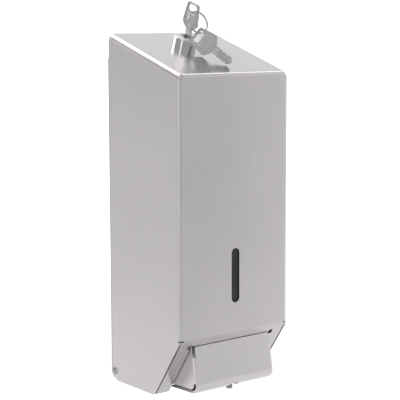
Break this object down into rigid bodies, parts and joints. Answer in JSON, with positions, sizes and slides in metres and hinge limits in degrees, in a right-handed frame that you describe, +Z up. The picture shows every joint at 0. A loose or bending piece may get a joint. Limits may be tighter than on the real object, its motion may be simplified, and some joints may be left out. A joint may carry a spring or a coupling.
{
  "type": "wall mounted soap dispenser",
  "caption": "Lockable brushed steel wall soap dispenser with a tilting cover, push lever, refillable tank, lever pump, sight slot and cam lock with keys",
  "frame": {"origin": "centre of the four wall screw holes, on the rear face of the back plate", "axes": "+Z up, +Y into the wall, front faces -Y, +X to the right seen from the front"},
  "size_m": [0.1236, 0.1045, 0.3371],
  "materials": {
    "brushed_steel": "brushed stainless sheet, satin",
    "lever_steel": "brushed stainless sheet, satin, grain across the lever",
    "plain_steel": "plain zinc bright steel",
    "rivet_steel": "stainless fastener",
    "lock_chrome": "polished chrome plate",
    "key_metal": "nickel plated brass, fine brushed",
    "ring_wire": "nickel plated spring wire",
    "smoked_pane": "smoked clear plastic",
    "tank_plastic": "translucent natural polyethylene",
    "pump_white": "white acetal",
    "spout_plastic": "grey acetal",
    "black_rubber": "black rubber",
    "spring_wire": "stainless spring wire"
  },
  "bodies": {
    "wall_frame": {"back_plate": "plain_steel", "plate_rivets": "rivet_steel", "hinge_rivets": "rivet_steel", "hinge_washers": "pump_white", "tank_shelf": "plain_steel", "lock_catch": "plain_steel", "soap_tank": "tank_plastic", "flap_pin": "rivet_steel", "pump_body": "pump_white", "pump_gland": "pump_white", "pump_nut": "pump_white", "neck_gasket": "black_rubber", "inlet_valve": "black_rubber"},
    "cover": {"cover": "brushed_steel", "sight_window": "smoked_pane", "lever_bracket_right": "plain_steel", "lever_bracket_left": "plain_steel", "lever_pins": "rivet_steel", "pin_clips": "spring_wire", "lock_body": "lock_chrome", "lock_washer": "plain_steel", "lock_nut": "plain_steel"},
    "lever": {"push_lever": "lever_steel", "push_pad": "black_rubber"},
    "plunger": {"pump_piston": "pump_white", "piston_seal": "black_rubber", "pump_head": "spout_plastic", "spout": "spout_plastic", "pump_spring": "spring_wire"},
    "flap": {"fill_flap": "pump_white"},
    "lock_turn": {"lock_plug": "key_metal", "lock_cam": "plain_steel", "cam_screw": "rivet_steel"},
    "key": {"key": "key_metal"},
    "ring": {"key_ring": "ring_wire"},
    "spare": {"spare_key": "key_metal"}
  },
  "joints": [
    {"name": "cover_tilt", "type": "hinge", "parent": "wall_frame", "child": "cover", "pos_m": [0, -0.0068, -0.1515], "axis": [1, 0, 0], "range_deg": [0, 60]},
    {"name": "lever_push", "type": "hinge", "parent": "cover", "child": "lever", "pos_m": [0, -0.0938, -0.112], "axis": [1, 0, 0], "range_deg": [0, 12]},
    {"name": "pump_stroke", "type": "slide", "parent": "wall_frame", "child": "plunger", "axis": [0, 1, 0], "range_m": [0, 0.0058], "deforming": ["pump_spring"]},
    {"name": "flap_lift", "type": "hinge", "parent": "wall_frame", "child": "flap", "pos_m": [0, -0.0435, 0.0715], "axis": [-1, 0, 0], "range_deg": [0, 90]},
    {"name": "lock_turn", "type": "hinge", "parent": "cover", "child": "lock_turn", "pos_m": [0, -0.0355, 0.13816], "axis": [0, -0.3123, 0.95], "range_deg": [-90, 0]},
    {"name": "key_draw", "type": "slide", "parent": "lock_turn", "child": "key", "axis": [0, -0.3123, 0.95], "range_m": [0, 0.018]},
    {"name": "ring_swing", "type": "hinge", "parent": "key", "child": "ring", "pos_m": [0, -0.04891, 0.16933], "axis": [-1, 0, 0], "range_deg": [0, 60]},
    {"name": "spare_key_swing", "type": "hinge", "parent": "ring", "child": "spare", "pos_m": [-0.0001, -0.05714, 0.14776], "axis": [-0.8447, -0.4169, 0.3357], "range_deg": [0, 40]}
  ],
  "couplings": [
    {"joint": "pump_stroke", "follows": "lever_push", "m_per_rad": 0.0262}
  ]
}
